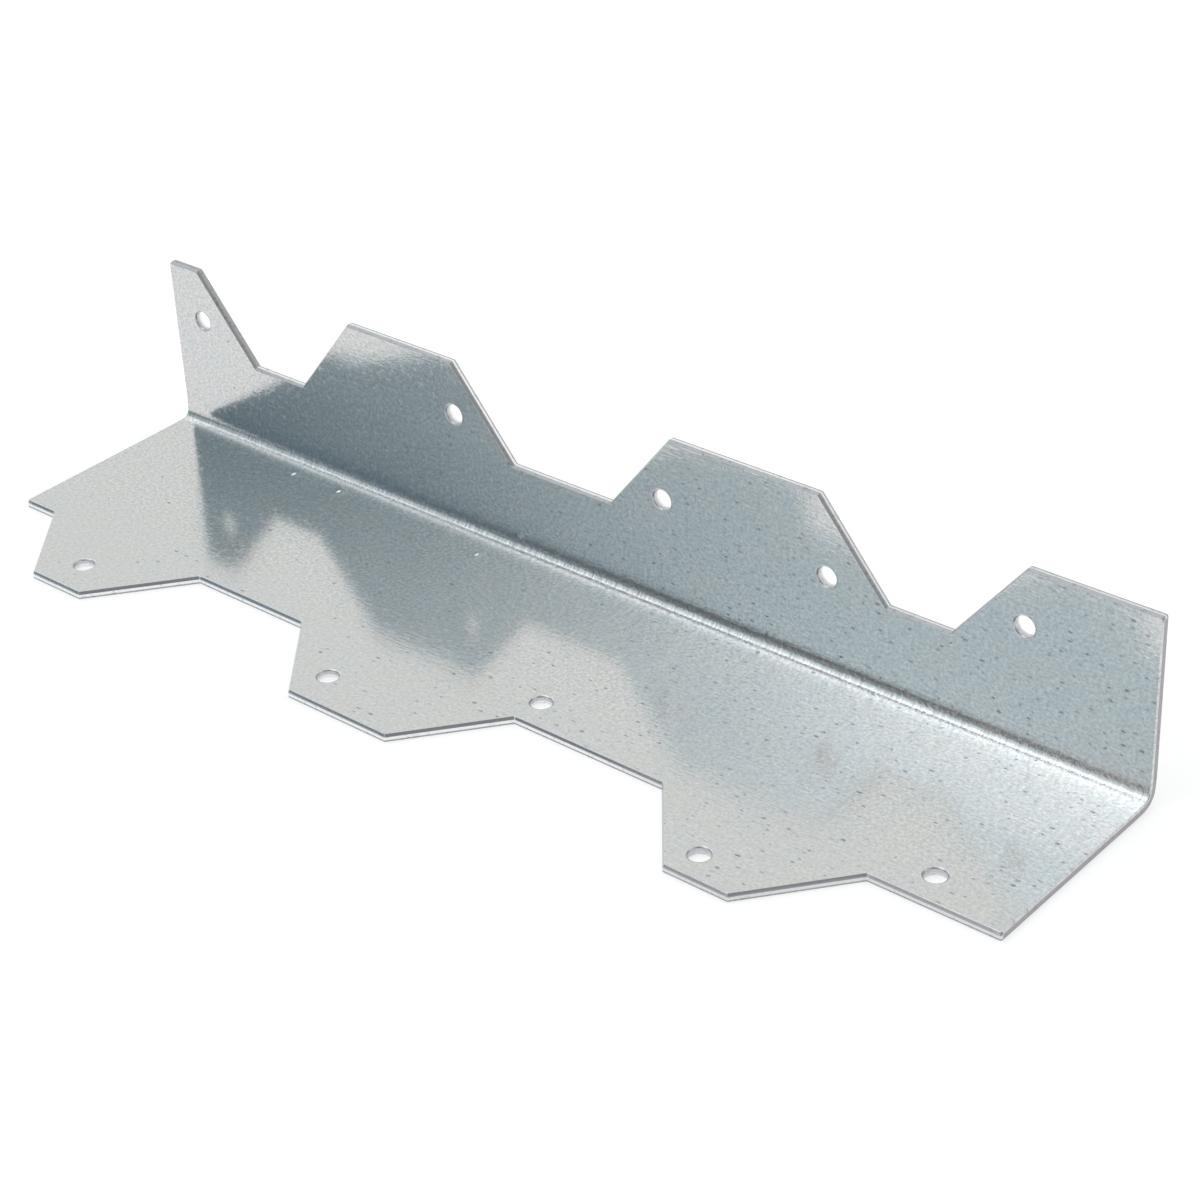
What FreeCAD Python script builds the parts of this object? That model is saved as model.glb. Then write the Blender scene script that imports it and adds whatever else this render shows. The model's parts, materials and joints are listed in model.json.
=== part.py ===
import FreeCAD, Part

import math
import os
from FreeCAD import Vector

# Reinforcing angle for timber: one galvanised sheet, sheared along a toothed line, punched for nails
# and folded square. Millimetres, +Z up, lying on its long leg. The fold runs along X at the back,
# and the origin is the middle of the footprint.

# Sheet and fold
sheet = 1.5
fold_inner_radius = 1.6

# Shear line. Blanks nest without waste, so each tooth of the standing leg faces a gap of the lying leg.
# Along the fold, from the left end: teeth of the standing leg, and the gaps between them.
tooth_depth = 17.5
slope_run = 14.3
end_tooth_tip = 8.0
narrow_gap_floor = 13.1
short_tooth_tip = 27.0
wide_gap_floor = 23.5
long_tooth_tip = 32.8
last_tooth_tip = 25.3
corner_radius = 0.5

# Legs, from the outer face of the other leg to the floors of their gaps
standing_gap_height = 18.9
lying_gap_reach = 45.3

# Nail holes of the standing leg, set down from the tooth tips. Most stand below a tip's corner, and
# the two of the long tooth stand further out, in its flanks.
nail_hole_diameter = 3.9
tip_corner_nail_drop = 11.0
long_tooth_left_drop = 12.7
long_tooth_right_drop = 15.8
long_tooth_nail_overhang = 1.8

# Nail holes of the lying leg, set back from its sheared edge: three in its teeth, then two in its body
tooth_nail_setback = 7.6
last_tooth_nail_setback = 5.8
body_nail_setback = 6.3
first_tooth_nail_inset = 6.1
wide_tooth_nail_inset = 2.5
last_tooth_nail_inset = 3.0
middle_body_nail_inset = 0.8
end_body_nail_inset = 16.5

# What the shear and the punch leave on the inner skin: a rolled edge, and an eased rim round each hole
edge_roll = 0.5
rim_ease = 0.4
roll_limit = 0.45 * sheet

flats = [
    end_tooth_tip,
    narrow_gap_floor,
    short_tooth_tip,
    wide_gap_floor,
    long_tooth_tip,
    narrow_gap_floor,
    last_tooth_tip,
]
length = sum(flats) + (len(flats) - 1) * slope_run
fold_outer_radius = fold_inner_radius + sheet
standing_tip_height = standing_gap_height + tooth_depth
lying_tip_reach = lying_gap_reach + tooth_depth
left_end = -length / 2
right_end = length / 2
back = lying_tip_reach / 2
along_fold = Vector(1, 0, 0)
same_point = 0.001


def flat_spans():
    """Where each flat of the shear line starts and ends along X, from the left end."""
    spans = []
    x = left_end
    for flat in flats:
        spans.append((x, x + flat))
        x += flat + slope_run
    return spans


def leg_outline(first_reach, second_reach):
    """One flat leg as (x, reach) points. The flats of its sheared edge take the two reaches in turn."""
    points = [(left_end, fold_outer_radius)]
    for i, (start, end) in enumerate(flat_spans()):
        reach = second_reach if i % 2 else first_reach
        points += [(start, reach), (end, reach)]
    return points + [(right_end, fold_outer_radius)]


def on_standing_leg(x, height):
    return Vector(x, back - sheet, height)


def on_lying_leg(x, reach):
    return Vector(x, back - reach, sheet)


def flat_leg(outline, place, through):
    """A leg's outline on the inner skin, carried through the sheet, with its sheared corners eased."""
    points = [place(x, reach) for x, reach in outline]
    leg = Part.Face(Part.makePolygon(points + points[:1])).extrude(through)
    middles = [point + through * 0.5 for point in points[1:-1]]
    corners = [e for e in leg.Edges if any(e.CenterOfMass.isEqual(m, same_point) for m in middles)]
    return leg.makeFillet(corner_radius, corners)


def bend():
    """Quarter ring between the legs, over the whole length."""
    centre = Vector(left_end, back - fold_outer_radius, fold_outer_radius)
    ring = Part.makeCylinder(fold_outer_radius, length, centre, along_fold)
    ring = ring.cut(Part.makeCylinder(fold_inner_radius, length, centre, along_fold))
    corner = Vector(left_end, back - fold_outer_radius, 0)
    return ring.common(Part.makeBox(length, fold_outer_radius, fold_outer_radius, corner))


def folded_sheet():
    standing = leg_outline(standing_tip_height, standing_gap_height)
    lying = leg_outline(lying_gap_reach, lying_tip_reach)
    standing_leg = flat_leg(standing, on_standing_leg, Vector(0, sheet, 0))
    lying_leg = flat_leg(lying, on_lying_leg, Vector(0, 0, -sheet))
    return standing_leg.fuse([bend(), lying_leg]).removeSplitter()


def nail_punches():
    """Punches for both legs, each through the sheet from the inner skin."""
    end_tip, first_gap, short_tip, wide_gap, long_tip, last_gap, last_tip = flat_spans()
    standing = [
        (end_tip[1], tip_corner_nail_drop),
        (short_tip[1], tip_corner_nail_drop),
        (long_tip[0] - long_tooth_nail_overhang, long_tooth_left_drop),
        (long_tip[1] + long_tooth_nail_overhang, long_tooth_right_drop),
        (last_tip[0], tip_corner_nail_drop),
    ]
    lying = [
        (first_gap[0] + first_tooth_nail_inset, lying_tip_reach - tooth_nail_setback),
        (wide_gap[0] + wide_tooth_nail_inset, lying_tip_reach - tooth_nail_setback),
        (last_gap[0] + last_tooth_nail_inset, lying_tip_reach - last_tooth_nail_setback),
        (long_tip[0] + middle_body_nail_inset, lying_gap_reach - body_nail_setback),
        (right_end - end_body_nail_inset, lying_gap_reach - body_nail_setback),
    ]
    starts = [(on_standing_leg(x, standing_tip_height - drop), Vector(0, 1, 0)) for x, drop in standing]
    starts += [(on_lying_leg(x, reach), Vector(0, 0, -1)) for x, reach in lying]
    return [Part.makeCylinder(nail_hole_diameter / 2, sheet, start, way) for start, way in starts]


def inner_skin_edges(solid):
    """Edges round the inner skin of the folded sheet: the rims of its holes, and its outline."""
    fold_middle = fold_outer_radius - fold_inner_radius * math.sqrt(0.5)
    spots = [
        on_standing_leg(0, standing_gap_height / 2),
        Vector(0, back - fold_middle, fold_middle),
        on_lying_leg(0, lying_gap_reach / 2),
    ]
    skin = [face for face in solid.Faces if any(face.isInside(spot, same_point, True) for spot in spots)]
    edges = [edge for face in skin for edge in face.Edges]
    free = [edge for edge in edges if sum(edge.isSame(other) for other in edges) == 1]
    rims = [edge for edge in free if edge.isClosed()]
    outline = [edge for edge in free if not edge.isClosed()]
    return rims, outline


def reinforcing_angle():
    angle = folded_sheet().cut(nail_punches())
    rims, _ = inner_skin_edges(angle)
    angle = angle.makeChamfer(min(rim_ease, roll_limit), rims)
    _, outline = inner_skin_edges(angle)
    return angle.makeFillet(min(edge_roll, roll_limit), outline).Solids[0]


def main():
    os.makedirs("parts", exist_ok=True)
    angle = reinforcing_angle()
    angle.exportStep("parts/reinforcing_angle.step")
    print(f"reinforcing_angle: {angle.Volume:.1f} mm3, {len(angle.Faces)} faces, valid {angle.isValid()}")


main()
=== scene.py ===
import json
import math

import bmesh
import bpy
import numpy as np
from mathutils import Euler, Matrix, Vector, noise
from mathutils.geometry import delaunay_2d_cdt


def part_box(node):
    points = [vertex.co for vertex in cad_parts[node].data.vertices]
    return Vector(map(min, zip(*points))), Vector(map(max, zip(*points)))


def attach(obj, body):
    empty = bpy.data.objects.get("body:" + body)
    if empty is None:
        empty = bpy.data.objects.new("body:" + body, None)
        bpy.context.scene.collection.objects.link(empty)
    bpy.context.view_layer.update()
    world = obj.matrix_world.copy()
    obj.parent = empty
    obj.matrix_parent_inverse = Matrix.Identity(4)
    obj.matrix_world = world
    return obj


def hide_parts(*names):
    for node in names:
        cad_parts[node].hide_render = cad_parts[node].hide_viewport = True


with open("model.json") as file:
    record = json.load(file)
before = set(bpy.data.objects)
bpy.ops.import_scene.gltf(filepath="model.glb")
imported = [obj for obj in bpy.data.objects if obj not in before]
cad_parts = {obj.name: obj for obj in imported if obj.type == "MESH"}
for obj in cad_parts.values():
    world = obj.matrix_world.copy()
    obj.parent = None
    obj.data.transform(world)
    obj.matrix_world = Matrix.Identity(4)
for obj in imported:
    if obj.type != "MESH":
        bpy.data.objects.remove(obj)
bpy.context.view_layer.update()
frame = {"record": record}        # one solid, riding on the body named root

mm = 0.001
solidName = "reinforcing_angle"
solidLow, solidHigh = [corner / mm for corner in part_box(solidName)]
leftEnd, rightEnd, back = solidLow.x, solidHigh.x, solidHigh.y
nailHoles = [m for m in frame["record"]["mounts"] if m["kind"] == "bore"]
print("frame loaded:", solidName, "with", len(nailHoles), "nail holes")


# Folded sheet, in millimetres. The blank is drawn flat, u along the fold and v across it, and then
# folded up. Overall sizes and the holes come from the frame.
foldedSheet = {
    "thickness": 1.5,
    "foldRadius": 1.6,        # inside the tight part of the bend
    "runOut": (12.0, 1.2),    # degrees each leg still turns beyond it, and over what reach
    "toothDepth": 17.5,
    "slopeRun": 14.3,
    "flats": (8.0, 13.1, 27.0, 23.5, 32.8, 13.1, 25.3),    # tips and gaps of the standing leg in turn
    "cornerRadius": 0.45,
    # set back, depth and fullness of the rolled inner edge, then the depth where the cut wall is torn
    "edgeRoll": (0.29, 0.63, 0.08, 1.15),
    "endRoll": (0.2, 0.3, 0.3, 1.15),        # the two ends were cut before the shear line
    "rimRoll": (0.34, 0.32, 0.6, 0.95),      # round the punched holes
    "burrEase": 0.12,         # on the outer skin
    "waveHeight": 0.02,       # slow unevenness of the sheet
    "waveInward": 1.1,        # times that height, so that no wave stands out of the flats
    "waveLength": 26.0,
    "waveShorter": 1.3,       # across the fold
    "waveSlice": 4.2,         # of the noise
    "nicks": (                # x, reach from the back, half width
        (-78.3, 6.6, 0.5),
        (-66.0, 6.4, 0.45),
        (-27.5, 8.4, 0.35),
        (62.4, 49.0, 0.3),
    ),
    "nickLength": 1.9,        # times longer than wide
    "nickDepth": 0.1,
    "nickLip": 0.35,          # times that depth, pushed up round the nick
}
meshSteps = {
    "roll": 6,
    "corner": 4,
    "hole": 48,
    "edge": 1.6,              # mm along the sheared edges
    "grid": 1.6,              # mm over the skins
    "keepOff": (0.45, 0.1, 0.7),    # of the grid from an edge: times its point spacing, plus mm, at most mm
    "bendCurve": (100.0, 10001),    # mm of the sheet on each side of mid-bend, and points along them
    "bendRows": 14,
    "besideBend": (0.2, 0.45, 0.8, 1.3, 1.9, 2.6, 3.5),    # mm from the tight bend to the next rows
    "nickRings": (0.0, 0.3, 0.6, 0.9, 1.2),                # times a nick's half width
    "nickPoints": 5,          # more in each ring than in the last
    "nickClear": 1.5,         # times the half width, free of the grid
    "support": 0.08,          # mm, keeps the flats flat up to the rolled edges
    "weld": 0.002,            # mm
}
thickness = foldedSheet["thickness"]
middleRadius = foldedSheet["foldRadius"] + thickness / 2
runOutTurn, runOutReach = math.radians(foldedSheet["runOut"][0]), foldedSheet["runOut"][1]
tightTurn = math.pi / 4 - runOutTurn
tightHalf = tightTurn * middleRadius        # half the tight bend, along the middle of the sheet
tightRows = np.linspace(-tightHalf, tightHalf, meshSteps["bendRows"] + 1)


def bendCurve():
    # the sheet's middle from the middle of the bend up the standing leg: turn, way back and way up
    along = np.linspace(0, *meshSteps["bendCurve"])
    beyond = (along - tightHalf).clip(0)
    toCome = runOutTurn * np.exp(-beyond / runOutReach)
    heading = math.pi / 4 + np.where(along < tightHalf, along / middleRadius, math.pi / 4 - toCome)
    pace = along[1] - along[0]
    wayBack = np.concatenate([[0], np.cumsum((np.cos(heading[1:]) + np.cos(heading[:-1])) / 2 * pace)])
    wayUp = np.concatenate([[0], np.cumsum((np.sin(heading[1:]) + np.sin(heading[:-1])) / 2 * pace)])
    return along, heading, wayBack, wayUp


bendAlong, bendHeading, bendBack, bendUp = bendCurve()
bendInset = thickness / 2 + bendBack[-1]        # from both outer faces to the sheet's middle in mid-bend


def blankReach(reach):
    # a distance from the other leg's outer face, measured along the blank from mid-bend
    return float(np.interp(reach - bendInset, bendUp, bendAlong))


def lyingBlank(y):
    return -blankReach(back - y)


def foldUp(blank, depth):
    # depth runs through the sheet, from the inner skin to the outer one
    u, v = blank[:, 0], blank[:, 1]
    run = np.abs(v)
    heading = np.interp(run, bendAlong, bendHeading)
    outward = depth - thickness / 2
    across = np.interp(run, bendAlong, bendBack) + outward * np.sin(heading)
    up = np.interp(run, bendAlong, bendUp) - outward * np.cos(heading)
    standing = v >= 0
    y = back - bendInset + np.where(standing, across, -up)
    z = bendInset + np.where(standing, up, -across)
    return np.stack([u, y, z], 1) * mm


def blankCorners():
    lyingLine, standingLine = [], []
    u = leftEnd
    for i, flat in enumerate(foldedSheet["flats"]):
        standingTip, lyingTip = (i + 1) % 2, i % 2
        for place in (u, u + flat):
            standingReach = solidHigh.z - foldedSheet["toothDepth"] * (1 - standingTip)
            lyingEdge = solidLow.y + foldedSheet["toothDepth"] * (1 - lyingTip)
            standingLine.append((place, blankReach(standingReach)))
            lyingLine.append((place, lyingBlank(lyingEdge)))
        u += flat + foldedSheet["slopeRun"]
    return np.array(lyingLine + standingLine[::-1])        # anticlockwise


def turned(way, angle):
    c, s = math.cos(angle), math.sin(angle)
    return np.array([c * way[0] - s * way[1], s * way[0] + c * way[1]])


def straightRun(start, end):
    point, out = start
    along = end - point
    shares = set(np.linspace(0, 1, math.ceil(np.linalg.norm(along) / meshSteps["edge"]) + 1)[1:-1])
    if abs(along[0]) < 1e-6:        # an end of the angle crosses the bend
        crossings = (tightRows - point[1]) / along[1]
        inBend = [s for s in shares if crossings.min() < s < crossings.max()]
        shares = shares - set(inBend) | set(crossings)
    return [(point + along * s, out) for s in sorted(shares)]


def outlineLoop():
    # points of the outline and their outward directions, with the corners rounded
    corners = blankCorners()
    radius, steps = foldedSheet["cornerRadius"], meshSteps["corner"]
    ahead = np.roll(corners, -1, 0) - corners
    ahead /= np.linalg.norm(ahead, axis=1)[:, None]
    arcs = []
    for corner, come, go in zip(corners, np.roll(ahead, 1, 0), ahead):
        turn = math.atan2(come[0] * go[1] - come[1] * go[0], come @ go)
        side = math.copysign(1, turn)
        start = corner - come * radius * math.tan(abs(turn) / 2)
        out = np.array([come[1], -come[0]])
        centre = start - out * radius * side
        outs = [turned(out, turn * k / steps) for k in range(steps + 1)]
        arcs.append([(centre + o * radius * side, o) for o in outs])
    loop = []
    for arc, following in zip(arcs, arcs[1:] + arcs[:1]):
        loop += arc
        loop += straightRun(arc[-1], following[0][0])
    points, outs = zip(*loop)
    return np.array(points), np.array(outs)


def holeLoops():
    # outward directions point into the hole, as they point off the sheet at its other edges
    loops = []
    for hole in nailHoles:
        x, y, z = Vector(hole["pos_m"]) / mm
        standing = abs(hole["axis"][1]) > 0.5
        v = blankReach(z) if standing else lyingBlank(y)
        turns = np.linspace(0, 2 * math.pi, meshSteps["hole"], endpoint=False)
        outs = -np.stack([np.cos(turns), np.sin(turns)], 1)
        loops.append((np.array([x, v]) - outs * hole["dims"]["r_mm"], outs))
    return loops


def insideLoop(points, loop):
    a, b = loop, np.roll(loop, -1, 0)
    px, py = points[:, :1], points[:, 1:]
    crosses = (a[:, 1] > py) != (b[:, 1] > py)
    rise = np.where(np.abs(b[:, 1] - a[:, 1]) < 1e-12, 1e-12, b[:, 1] - a[:, 1])
    left = px < a[:, 0] + (py - a[:, 1]) * (b[:, 0] - a[:, 0]) / rise
    return (crosses & left).sum(1) % 2 == 1


def loopDistance(points, loop):
    a, b = loop, np.roll(loop, -1, 0)
    along = b - a
    nearest = np.full(len(points), np.inf)
    for start, way in zip(a, along):
        share = ((points - start) @ way / (way @ way)).clip(0, 1)
        nearest = np.minimum(nearest, np.linalg.norm(points - start - share[:, None] * way, axis=1))
    return nearest


def nickPlaces():
    shape = np.array([1, foldedSheet["nickLength"]])
    places = [(x, lyingBlank(back - reach), half) for x, reach, half in foldedSheet["nicks"]]
    return [(np.array([x, v]), half * shape) for x, v, half in places]


def skinPoints(loops):
    # grid over the blank, closer in the bend and beside it, clear of every edge, and rings for the nicks
    step = meshSteps["grid"]
    near = tightHalf + np.array(meshSteps["besideBend"])
    far = np.arange(near[-1] + step / 2, blankReach(back - solidLow.y), step)
    rows = np.concatenate([-far[::-1], -near[::-1], tightRows, near, far])
    columns = np.arange(leftEnd + step / 2, rightEnd, step)
    grid = np.stack([g.ravel() for g in np.meshgrid(columns, rows)], 1)
    grid = grid[insideLoop(grid, loops[0])]
    share, more, most = meshSteps["keepOff"]
    for loop in loops:
        spread = np.linalg.norm(loop - np.roll(loop, 1, 0), axis=1).max()
        grid = grid[loopDistance(grid, loop) > min(share * spread + more, most)]
    for loop in loops[1:]:
        grid = grid[~insideLoop(grid, loop)]
    rings = []
    for place, half in nickPlaces():
        grid = grid[np.linalg.norm((grid - place) / half, axis=1) > meshSteps["nickClear"]]
        for k, ring in enumerate(meshSteps["nickRings"]):
            count = 1 + meshSteps["nickPoints"] * k
            turns = np.arange(count) / count * 2 * math.pi
            rings.append(place + half * ring * np.stack([np.cos(turns), np.sin(turns)], 1))
    return np.concatenate([grid] + rings)


def skinFaces(loops):
    points = np.concatenate(loops + [skinPoints(loops)])
    edges, first = [], 0
    for loop in loops:
        count = len(loop)
        edges += [(first + k, first + (k + 1) % count) for k in range(count)]
        first += count
    flat, _, faces, *_ = delaunay_2d_cdt([Vector(p) for p in points], edges, [], 1, 1e-6, False)
    flat = np.array([tuple(p) for p in flat])
    middles = np.array([flat[list(f)].mean(0) for f in faces])
    keep = insideLoop(middles, loops[0])
    for loop in loops[1:]:
        keep &= ~insideLoop(middles, loop)
    return flat, [tuple(f) for f, k in zip(faces, keep) if k]


def sheetWave(blank):
    # slow unevenness of the whole sheet, a few hundredths inward from the floor and the back
    length, level = foldedSheet["waveLength"], foldedSheet["waveSlice"]
    places = [Vector((u / length, foldedSheet["waveShorter"] * v / length, level)) for u, v in blank]
    waves = np.array([noise.fractal(p, 0.8, 2.0, 3) for p in places])        # softness, step, octaves
    return foldedSheet["waveHeight"] * (waves - foldedSheet["waveInward"])


def nickDepth(blank):
    deep = np.zeros(len(blank))
    for place, half in nickPlaces():
        off = np.linalg.norm((blank - place) / half, axis=1)
        pit = np.exp(-3 * off ** 2)
        lip = np.exp(-8 * (off - 0.95) ** 2)
        deep += foldedSheet["nickDepth"] * (pit - foldedSheet["nickLip"] * lip)
    return deep


def edgeProfile(roll):
    # rows of (set back from the edge, depth through the sheet), from the inner skin to the outer one
    setBack, deep, full, tearDepth = roll
    shares = np.linspace(0, 1, meshSteps["roll"] + 1)
    ease, support = foldedSheet["burrEase"], meshSteps["support"]
    bulge = 1 - full        # of a curve with one control point, drawn towards the sharp corner
    rows = [(setBack + support, 0.0)]
    rows += [(setBack * (1 - t) * (1 - t + t * bulge), deep * t * (t + (1 - t) * bulge)) for t in shares]
    rows += [(0.0, deep + support), (0.0, tearDepth)]
    rows += [(0.0, thickness - ease - support), (0.0, thickness - ease)]
    belly = 0.3 * ease        # makes the ease a round one
    rows += [(belly, thickness - belly), (ease, thickness), (ease + support, thickness)]
    return rows


# in the order of the mesh's material slots
finishes = ["galvanisedSkin", "rolledEdge", "shearedEdge", "cutEnd", "punchedWall", "tornWall"]


def addSheet(bm, points, depth, faces, materials):
    wave = sheetWave(points)
    verts = [bm.verts.new(p) for p in foldUp(points, depth + wave)]
    for f, material in zip(faces, materials):
        bm.faces.new([verts[i] for i in f]).material_index = int(material)


def bandFinish(r, bands, points, outs, roll):
    # the sheet rolls over at the edge, then comes the smooth wall, then the torn one. The standing leg's
    # roll takes the darker torn finish, and so does all of its first tooth's edge.
    firstWall = meshSteps["roll"] + 1
    skin, rolled, sheared, cutEnd, punched, torn = range(len(finishes))
    smooth = r < firstWall + 2
    if r == 0 or r == bands - 1:
        return np.full(len(points), skin)
    if roll is foldedSheet["rimRoll"]:
        return np.full(len(points), punched if smooth else sheared)
    standing = points[:, 1] > tightHalf
    firstTooth = standing & (points[:, 0] < leftEnd + foldedSheet["flats"][0] + foldedSheet["slopeRun"])
    atEnd = np.abs((outs + np.roll(outs, -1, 0))[:, 0]) > 1.99        # both points face along the fold
    if r < firstWall:
        return np.where(atEnd, skin, np.where(standing, torn, rolled))
    return np.where(atEnd, cutEnd, np.where(firstTooth, torn, sheared if smooth else torn))


def makeAngle():
    bm = bmesh.new()
    outline = outlineLoop()
    edges = [(outline, foldedSheet["edgeRoll"])]
    edges += [(loop, foldedSheet["rimRoll"]) for loop in holeLoops()]
    innerLoops, outerLoops = [], []
    endRows = np.array(edgeProfile(foldedSheet["endRoll"]))
    for (points, outs), roll in edges:
        rows = np.array(edgeProfile(roll))
        count = len(points)
        # 1 at the two ends, falling off fast round their corners
        atEnd = outs[:, 0] ** 16 if roll is foldedSheet["edgeRoll"] else np.zeros(count)
        profiles = rows[:, None] + atEnd[:, None] * (endRows - rows)[:, None]
        strip = np.concatenate([points - outs * across[:, :1] for across in profiles])
        depth = profiles[:, :, 1].ravel()
        quads = [(k, count + k, count + (k + 1) % count, (k + 1) % count) for k in range(count)]
        for r in range(len(rows) - 1):
            band = slice(r * count, (r + 2) * count)
            finish = bandFinish(r, len(rows) - 1, points, outs, roll)
            addSheet(bm, strip[band], depth[band], quads, finish)
        innerLoops.append(strip[:count])
        outerLoops.append(strip[-count:])
    flat, tris = skinFaces(innerLoops)
    addSheet(bm, flat, nickDepth(flat), tris, np.zeros(len(tris), int))
    flat, tris = skinFaces(outerLoops)
    flipped = [t[::-1] for t in tris]
    addSheet(bm, flat, np.full(len(flat), thickness), flipped, np.zeros(len(tris), int))
    bmesh.ops.remove_doubles(bm, verts=bm.verts, dist=meshSteps["weld"] * mm)
    bmesh.ops.recalc_face_normals(bm, faces=bm.faces)
    for face in bm.faces:
        face.smooth = True
    mesh = bpy.data.meshes.new("foldedAngle")
    bm.to_mesh(mesh)
    openEdges = sum(len(e.link_faces) != 2 for e in bm.edges)
    bm.free()
    angle = bpy.data.objects.new("folded_angle", mesh)
    bpy.context.scene.collection.objects.link(angle)
    print("folded angle:", len(mesh.polygons), "faces, open edges:", openEdges)
    return angle


# Node helpers
def newTree(material):
    material.use_nodes = True
    tree = material.node_tree
    tree.nodes.clear()
    return tree


def node(tree, kind, inputs=None, **settings):
    # inputs are other nodes' outputs or plain values, by socket name or number
    made = tree.nodes.new("ShaderNode" + kind)
    for name, value in settings.items():
        setattr(made, name, value)
    for name, value in (inputs or {}).items():
        socket = made.inputs[name]
        if isinstance(value, bpy.types.NodeSocket):
            tree.links.new(value, socket)
        else:
            socket.default_value = value
    return made


def math2(tree, operation, a, b):
    return node(tree, "Math", {0: a, 1: b}, operation=operation).outputs[0]


def remap(tree, value, fromLow, fromHigh, toLow=0.0, toHigh=1.0, smooth=True):
    kind = "SMOOTHSTEP" if smooth else "LINEAR"
    inputs = {"Value": value, "From Min": fromLow, "From Max": fromHigh, "To Min": toLow, "To Max": toHigh}
    return node(tree, "MapRange", inputs, interpolation_type=kind).outputs["Result"]


def blendColour(tree, share, a, b):
    return node(tree, "Mix", {0: share, 6: a, 7: b}, data_type="RGBA").outputs[2]


def scaled(tree, vector, share):
    return node(tree, "VectorMath", {0: vector, "Scale": share}, operation="SCALE").outputs[0]


# Galvanised skin: satin zinc with a fine grain, rolling streaks, and dark flecks, more of them to the right
galvanisedSkin = {
    "warmZinc": (0.672, 0.668, 0.659, 1),
    "coolZinc": (0.655, 0.667, 0.669, 1),
    "fleck": (0.24, 0.25, 0.26, 1),
    "toRight": (-70.0 * mm, 50.0 * mm),    # where the left end's look gives way to the right end's
    "cloudSize": 7.7 * mm,         # of warmer and cooler patches
    "roughness": (0.11, 0.28),     # of the bright grains and the dull ones
    "grainSize": 0.62 * mm,        # the coarsest of it
    "grainStretch": 0.8,           # drawn out along the sheet
    "grainShade": (0.85, 0.5),     # how far it shades the zinc, beside the fold and at the front
    "grainFades": (28.0 * mm, 46.0 * mm),    # how far from the fold that changes
    "grainHeight": 0.005,          # this and the other heights in millimetres
    "lumpSize": 1.2 * mm,
    "lumpHeight": 0.011,
    "streakSize": 0.5 * mm,
    "streakStretch": 0.14,
    "streakHeight": (0.004, 0.018),    # at the left end and at the right end
    "streakShade": (0.04, 0.18),
    "bendGrainSize": 0.38 * mm,
    "bendGrainStretch": 0.5,
    "bendGrainHeight": 0.04,       # where the bend has wrinkled the zinc
    "bendDull": 0.13,              # and made it rougher
    "bendPaintedShade": 0.92,             # painted shade that darkens the zinc in the fold
    "bendReach": (3.0 * mm, 4.0 * mm),    # where that starts to fade, and where it ends
    "bowTurn": (4.8, 9.0),         # degrees that both skins still turn beside the fold, over how many mm
    "leanTurn": 1.6,               # degrees that the standing skin leans back
    "hollow": (3.0, 22.0, 0.3),    # mm: from and to which heights it falls away, and by how much
    "fleckSpacing": 1.5 * mm,
    "fleckStretch": 0.5,
    "fleckSize": 0.26 * mm,
    "fleckSpread": (0.6, 1.4),     # times that size, the smallest and the largest
    "fleckShake": (1.2, 1.4),      # times that size, how fine and how far their outlines wander
    "fleckStrength": (0.15, 0.85),     # of the faintest and the darkest
    "fleckDull": 0.2,              # added to the roughness
    "fleckShare": (0.12, 0.6),     # of the cells that hold one, at the left end and at the right end
    "fleckClouds": (0.5, 1.5),     # times as many in warm patches and in cool ones
    "fleckLying": 0.6,             # times as many on the lying leg
    "fleckHeights": (2.0 * mm, 8.0 * mm),    # between which they grow to the standing leg's number
}


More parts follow.
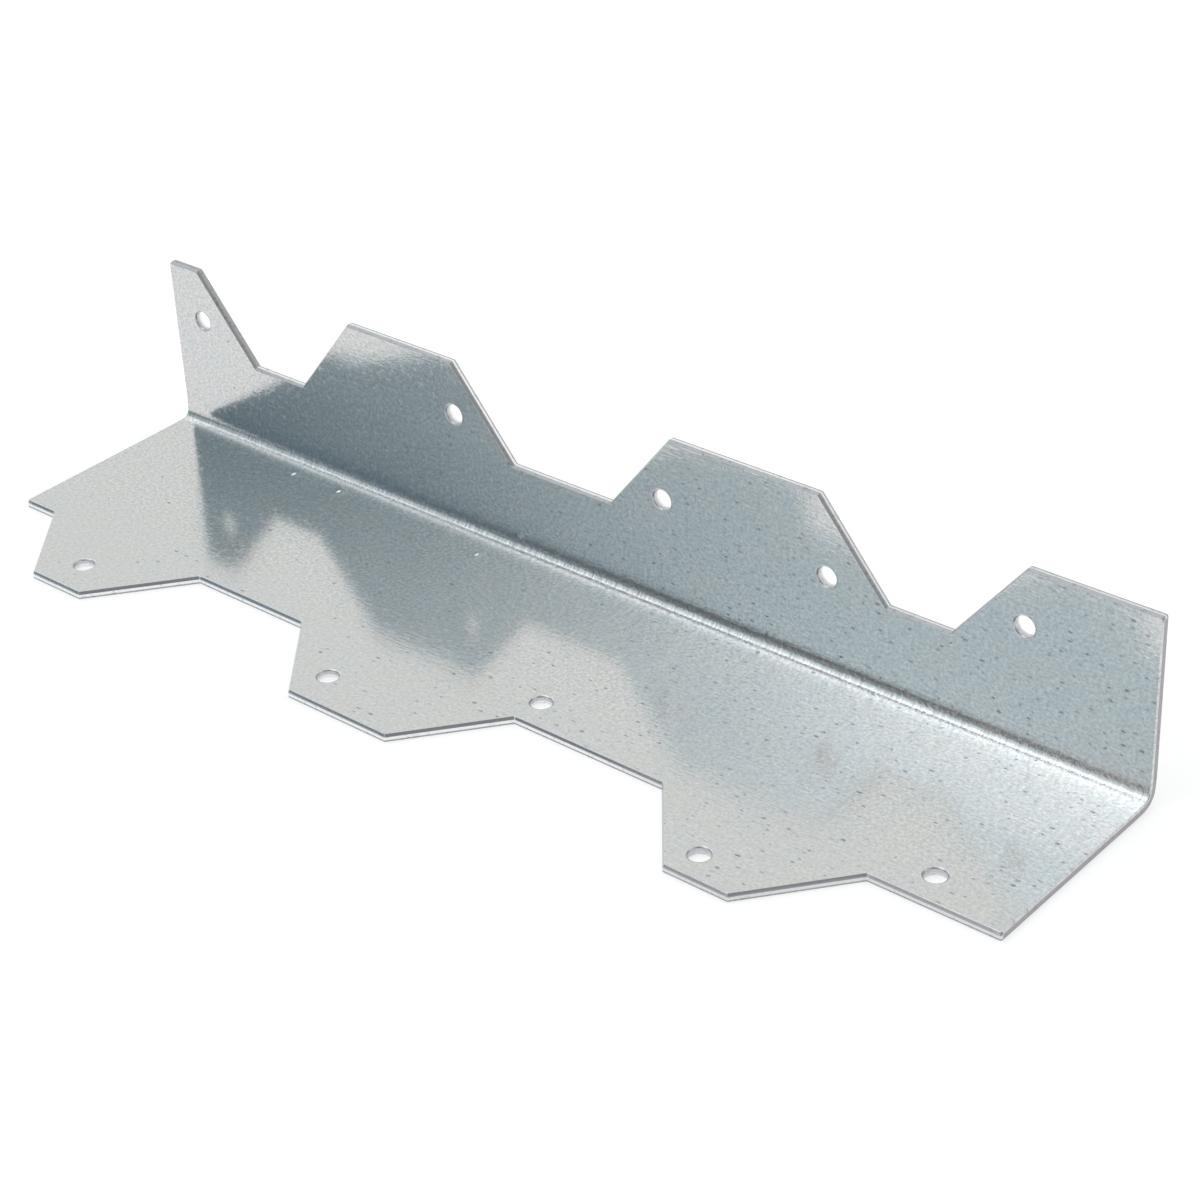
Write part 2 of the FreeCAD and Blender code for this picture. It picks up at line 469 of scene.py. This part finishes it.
def makeGalvanisedSkin():
    look = galvanisedSkin
    material = bpy.data.materials.new("galvanisedSkin")
    tree = newTree(material)
    apart = node(tree, "SeparateXYZ", {"Vector": node(tree, "TexCoord").outputs["Object"]}).outputs
    across = math2(tree, "SUBTRACT", apart["Z"], apart["Y"])        # runs on through the bend
    fromFold = math2(tree, "ADD", across, (back - thickness) * mm)
    toRight = remap(tree, apart["X"], *look["toRight"])

    def times(a, b):
        return math2(tree, "MULTIPLY", a, b)

    def plus(a, b):
        return math2(tree, "ADD", a, b)

    def leftToRight(ends):
        return remap(tree, toRight, 0.0, 1.0, *ends, False)

    def uneven(texture, share):
        return plus(times(math2(tree, "SUBTRACT", texture, 0.5), share), 1.0)        # round about 1

    def onSheet(stretch):
        return node(tree, "CombineXYZ", {"X": times(apart["X"], stretch), "Y": across}).outputs[0]

    def speckle(size, stretch, detail, roughness=0.5, output=0):
        inputs = {"Vector": onSheet(stretch), "Scale": 1 / size, "Detail": detail, "Roughness": roughness}
        return node(tree, "TexNoise", inputs, noise_dimensions="2D").outputs[output]

    grain = speckle(look["grainSize"], look["grainStretch"], 2.0, 0.9)
    lumps = speckle(look["lumpSize"], look["grainStretch"], 2.0, 0.8)
    streak = speckle(look["streakSize"], look["streakStretch"], 2.0)
    cloud = speckle(look["cloudSize"], 1.0, 2.0)
    wrinkle = speckle(look["bendGrainSize"], look["bendGrainStretch"], 1.5)

    # flecks: a few cells of a scattered pattern, drawn out along the sheet, with uneven outlines
    shakeSize, shakeReach = [share * look["fleckSize"] for share in look["fleckShake"]]
    shake = scaled(tree, speckle(shakeSize, 1.0, 1.0, output="Color"), shakeReach)
    place = onSheet(look["fleckStretch"])
    shaken = node(tree, "VectorMath", {0: place, 1: shake}, operation="ADD").outputs[0]
    scatter = {"Vector": shaken, "Scale": 1 / look["fleckSpacing"]}
    cells = node(tree, "TexVoronoi", scatter, voronoi_dimensions="2D").outputs
    cell = node(tree, "SeparateColor", {"Color": cells["Color"]}).outputs
    smallest, largest = [share * look["fleckSize"] for share in look["fleckSpread"]]
    size = remap(tree, cell["Green"], 0.0, 1.0, smallest, largest, False)
    off = times(cells["Distance"], look["fleckSpacing"])
    spot = remap(tree, math2(tree, "DIVIDE", off, size), 1.0, 0.4)
    inClouds = remap(tree, cloud, 0.35, 0.65, *look["fleckClouds"])
    onLegs = remap(tree, apart["Z"], *look["fleckHeights"], look["fleckLying"], 1.0)
    often = times(times(leftToRight(look["fleckShare"]), inClouds), onLegs)
    chosen = math2(tree, "LESS_THAN", cell["Red"], often)
    strong = remap(tree, cell["Blue"], 0.0, 1.0, *look["fleckStrength"], False)
    fleck = times(times(spot, chosen), strong)

    fades, ends = look["bendReach"]
    inBend = remap(tree, fromFold, ends, fades)
    contrast = remap(tree, fromFold, *look["grainFades"], *look["grainShade"])
    zinc = blendColour(tree, remap(tree, cloud, 0.3, 0.7), look["warmZinc"], look["coolZinc"])
    streaked = uneven(streak, leftToRight(look["streakShade"]))
    zinc = scaled(tree, zinc, times(uneven(grain, contrast), streaked))
    # painted shade: the zinc is darkened in the fold
    zinc = scaled(tree, zinc, remap(tree, inBend, 0.0, 1.0, 1.0, look["bendPaintedShade"]))
    colour = blendColour(tree, fleck, zinc, look["fleck"])
    roughness = remap(tree, lumps, 0.5, 0.85, *look["roughness"], False)
    roughness = plus(roughness, times(fleck, look["fleckDull"]))
    roughness = plus(roughness, times(inBend, look["bendDull"]))

    turn, reach = look["bowTurn"]
    bow = math2(tree, "POWER", math.e, times(fromFold, -1 / (reach * mm)))
    upLeg = math2(tree, "MAXIMUM", math2(tree, "SUBTRACT", apart["Z"], 2 * thickness * mm), 0.0)
    starts, ends, deep = look["hollow"]
    heights = [
        times(lumps, look["lumpHeight"]),
        times(grain, look["grainHeight"]),
        times(streak, leftToRight(look["streakHeight"])),
        times(times(wrinkle, look["bendGrainHeight"]), inBend),
        times(bow, math.tan(math.radians(turn)) * reach),
        times(upLeg, -math.tan(math.radians(look["leanTurn"])) / mm),
        remap(tree, apart["Z"], starts * mm, ends * mm, 0.0, -deep),
    ]
    height = heights[0]
    for more in heights[1:]:
        height = plus(height, more)
    bump = node(tree, "Bump", {"Strength": 1.0, "Distance": mm, "Height": height}).outputs[0]
    finish = {"Base Color": colour, "Metallic": 1.0, "Roughness": roughness, "Normal": bump}
    shader = node(tree, "BsdfPrincipled", finish)
    node(tree, "OutputMaterial", {"Surface": shader.outputs[0]})
    return material


# Edges of the sheet where it was cut: bright along the shear line, duller in the holes, at the ends and
# towards the right. Clean metal, torn metal and roughness, then what the right multiplies the metal by
# and adds to the roughness.
cutWalls = {
    "rolledEdge": ((0.66, 0.66, 0.67, 1), (0.6, 0.6, 0.61, 1), 0.2, 0.85, 0.1),
    "shearedEdge": ((0.93, 0.93, 0.94, 1), (0.72, 0.72, 0.73, 1), 0.22, 0.85, 0.12),
    "cutEnd": ((0.44, 0.43, 0.46, 1), (0.34, 0.34, 0.36, 1), 0.45, 1.0, 0.0),
    "punchedWall": ((0.64, 0.64, 0.66, 1), (0.46, 0.46, 0.48, 1), 0.35, 1.0, 0.0),
    "tornWall": ((0.46, 0.46, 0.47, 1), (0.3, 0.3, 0.31, 1), 0.5, 1.0, 0.0),
}
cutMarks = {
    "scale": 1500.0,          # of their noise
    "height": 0.006 * mm,
    "dullRight": (30.0 * mm, 55.0 * mm),    # from where the edges turn duller, and where they have
}


def makeCutWall(name):
    clean, torn, roughness, rightShade, rightDull = cutWalls[name]
    material = bpy.data.materials.new(name)
    tree = newTree(material)
    place = node(tree, "TexCoord").outputs["Object"]
    drawn = node(tree, "TexNoise", {"Vector": place, "Scale": cutMarks["scale"], "Detail": 3.0}).outputs[0]
    colour = blendColour(tree, remap(tree, drawn, 0.5, 0.75), clean, torn)
    along = node(tree, "SeparateXYZ", {"Vector": place}).outputs["X"]
    colour = scaled(tree, colour, remap(tree, along, *cutMarks["dullRight"], 1.0, rightShade))
    roughness = remap(tree, along, *cutMarks["dullRight"], roughness, roughness + rightDull)
    bump = node(tree, "Bump", {"Strength": 1.0, "Distance": cutMarks["height"], "Height": drawn})
    finish = {"Base Color": colour, "Metallic": 1.0, "Roughness": roughness, "Normal": bump.outputs[0]}
    shader = node(tree, "BsdfPrincipled", finish)
    node(tree, "OutputMaterial", {"Surface": shader.outputs[0]})
    return material


angle = makeAngle()
angle.data.materials.append(makeGalvanisedSkin())
for wall in finishes[1:]:
    angle.data.materials.append(makeCutWall(wall))
print("finishes:", ", ".join(m.name for m in angle.data.materials))
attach(angle, "root")
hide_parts(solidName)


# Studio: a white floor in a white room, with soft panels in the room's walls. Azimuths run from the
# back of the angle towards its right end, all in degrees.
studio = {
    "floorHalf": 12.0,        # metres
    "floorColour": (0.5, 0.5, 0.5, 1),
    "floorGlow": (0.6, 0.54),    # brings the floor up to white, for the eye and for reflections
    "backdrop": (1, 1, 1, 1),    # what the camera sees of the room
    "room": (0.89, 0.91, 0.9, 1),
    "panels": {        # azimuth, elevation, core, soft edge, colour
        "cameraSide": (135, 30, 22, 30, (0.28, 0.29, 0.31, 1)),
        "haze": (-135, 28, 16, 10, (0.93, 1.08, 1.15, 1)),
        "softbox": (-111, 51, 19, 16, (2.51, 2.61, 2.68, 1)),
        "lowFront": (-145, 3, 10, 5, (0.16, 0.165, 0.17, 1)),
        "dimLow": (-130, 11, 9, 11, (0.18, 0.25, 0.3, 1)),
        "dimHigh": (-118, 33, 4, 30, (0.29, 0.39, 0.43, 1)),
        "dimTop": (-87, 57, 8, 5, (0.3, 0.32, 0.34, 1)),
    },
}


def eyeRays(tree):
    path = node(tree, "LightPath").outputs
    seen = math2(tree, "MAXIMUM", path["Is Camera Ray"], path["Is Transmission Ray"])
    return seen, path["Is Glossy Ray"]


def makeFloor():
    half = studio["floorHalf"]
    mesh = bpy.data.meshes.new("studioFloor")
    corners = [(-half, -half, 0), (half, -half, 0), (half, half, 0), (-half, half, 0)]
    mesh.from_pydata(corners, [], [(0, 1, 2, 3)])
    floor = bpy.data.objects.new("studio_floor", mesh)
    bpy.context.scene.collection.objects.link(floor)
    material = bpy.data.materials.new("whiteFloor")
    tree = newTree(material)
    seen, mirrored = eyeRays(tree)
    forEye, forMirrors = studio["floorGlow"]
    eyeGlow = math2(tree, "MULTIPLY", seen, forEye)
    mirrorGlow = math2(tree, "MULTIPLY", mirrored, forMirrors)
    strength = math2(tree, "ADD", eyeGlow, mirrorGlow)
    matt = node(tree, "BsdfDiffuse", {"Color": studio["floorColour"]}).outputs[0]
    glow = node(tree, "Emission", {"Strength": strength}).outputs[0]
    both = node(tree, "AddShader", {0: matt, 1: glow}).outputs[0]
    node(tree, "OutputMaterial", {"Surface": both})
    mesh.materials.append(material)
    print("floor laid")


def makeRoom():
    world = bpy.data.worlds.new("studioRoom")
    bpy.context.scene.world = world
    tree = newTree(world)
    way = node(tree, "TexCoord").outputs["Generated"]
    colour = studio["room"]
    for azimuth, elevation, core, edge, panelColour in studio["panels"].values():
        a, e = math.radians(azimuth), math.radians(elevation)
        aim = (math.sin(a) * math.cos(e), math.cos(a) * math.cos(e), math.sin(e))
        cosine = node(tree, "VectorMath", {0: way, 1: aim}, operation="DOT_PRODUCT").outputs["Value"]
        off = node(tree, "Math", {0: cosine}, operation="ARCCOSINE").outputs[0]
        mask = remap(tree, off, math.radians(core + edge), math.radians(core))
        colour = blendColour(tree, mask, colour, panelColour)
    seen, _ = eyeRays(tree)
    colour = blendColour(tree, seen, colour, studio["backdrop"])
    shade = node(tree, "Background", {"Color": colour, "Strength": 1.0})
    node(tree, "OutputWorld", {"Surface": shade.outputs[0]})
    print("room lit by", len(studio["panels"]), "panels")


makeFloor()
makeRoom()

# Camera, fitted to the straight edges of the photographed object
photoCamera = {
    "eye": (0.301554, -0.313896, 0.279034),    # metres
    "turn": (58.4212, 2.3921, 40.0849),        # degrees
    "lens": 86.768,                            # mm, this and the sensor
    "sensor": 36,
}
cameraData = bpy.data.cameras.new("photoCamera")
cameraData.lens = photoCamera["lens"]
cameraData.sensor_width = photoCamera["sensor"]
camera = bpy.data.objects.new("photoCamera", cameraData)
camera.location = photoCamera["eye"]
camera.rotation_euler = Euler([math.radians(a) for a in photoCamera["turn"]])
bpy.context.scene.collection.objects.link(camera)
bpy.context.scene.camera = camera
bpy.context.scene.view_settings.view_transform = "Standard"
print("camera placed")
